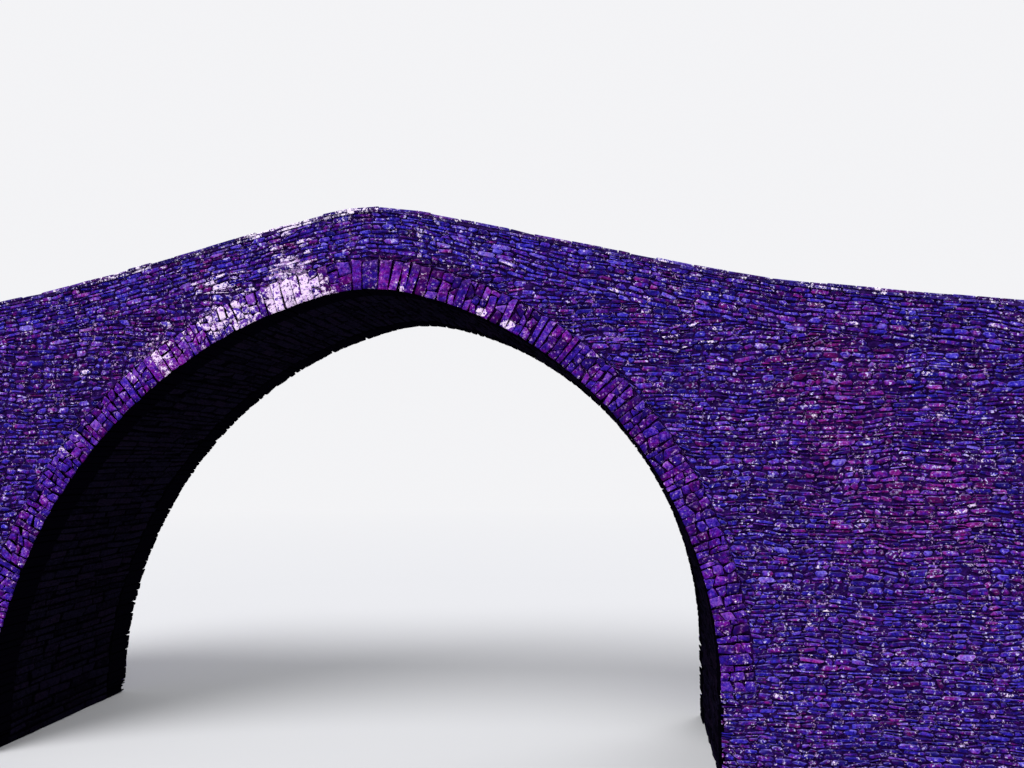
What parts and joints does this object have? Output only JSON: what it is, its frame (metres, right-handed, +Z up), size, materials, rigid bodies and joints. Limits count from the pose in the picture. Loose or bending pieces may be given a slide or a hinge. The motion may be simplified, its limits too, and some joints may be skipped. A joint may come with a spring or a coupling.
{
  "type": "packhorse bridge",
  "caption": "Narrow humpbacked packhorse bridge of thin rubble stone, with a slightly pointed arch, low coped parapets and a cobbled road.",
  "frame": {"origin": "middle of the bridge's base, on the level floor that it stands on", "axes": "+X along the bridge to the right as seen from the front, +Y through the arch away from the front face, +Z up"},
  "size_m": [17.2, 2.86, 6.5],
  "materials": {
    "vault_stone": "rough long slabs, damp and very dark",
    "ring_stone": "rough slabs set on edge, weathered",
    "wall_rubble": "thin flat rubble in rough courses, weathered and lichened",
    "core_fill": "rubble and earth",
    "road_cobbles": "worn cobbles",
    "parapet_rubble": "thin flat rubble, weathered",
    "coping_stone": "flat slabs, pale with lichen"
  },
  "bodies": {
    "root": {"arch_left_springer": "vault_stone", "arch_left_haunch": "vault_stone", "arch_left_shoulder": "vault_stone", "arch_crown": "vault_stone", "arch_right_shoulder": "vault_stone", "arch_right_haunch": "vault_stone", "arch_right_springer": "vault_stone", "front_ring_left_springer": "ring_stone", "front_ring_left_haunch": "ring_stone", "front_ring_left_shoulder": "ring_stone", "front_ring_crown": "ring_stone", "front_ring_right_shoulder": "ring_stone", "front_ring_right_haunch": "ring_stone", "front_ring_right_springer": "ring_stone", "back_ring_left_springer": "ring_stone", "back_ring_left_haunch": "ring_stone", "back_ring_left_shoulder": "ring_stone", "back_ring_crown": "ring_stone", "back_ring_right_shoulder": "ring_stone", "back_ring_right_haunch": "ring_stone", "back_ring_right_springer": "ring_stone", "left_abutment": "wall_rubble", "right_abutment": "wall_rubble", "front_spandrel_left": "wall_rubble", "front_spandrel_right": "wall_rubble", "back_spandrel_left": "wall_rubble", "back_spandrel_right": "wall_rubble", "crown_bed": "wall_rubble", "front_approach_left": "wall_rubble", "front_approach_right": "wall_rubble", "back_approach_left": "wall_rubble", "back_approach_right": "wall_rubble", "left_end_wall": "wall_rubble", "right_end_wall": "wall_rubble", "left_core": "core_fill", "right_core": "core_fill", "deck_left_approach": "road_cobbles", "deck_left_ramp": "road_cobbles", "deck_crown": "road_cobbles", "deck_right_ramp": "road_cobbles", "deck_right_approach": "road_cobbles", "front_parapet": "parapet_rubble", "back_parapet": "parapet_rubble", "front_coping": "coping_stone", "back_coping": "coping_stone"}
  },
  "joints": []
}
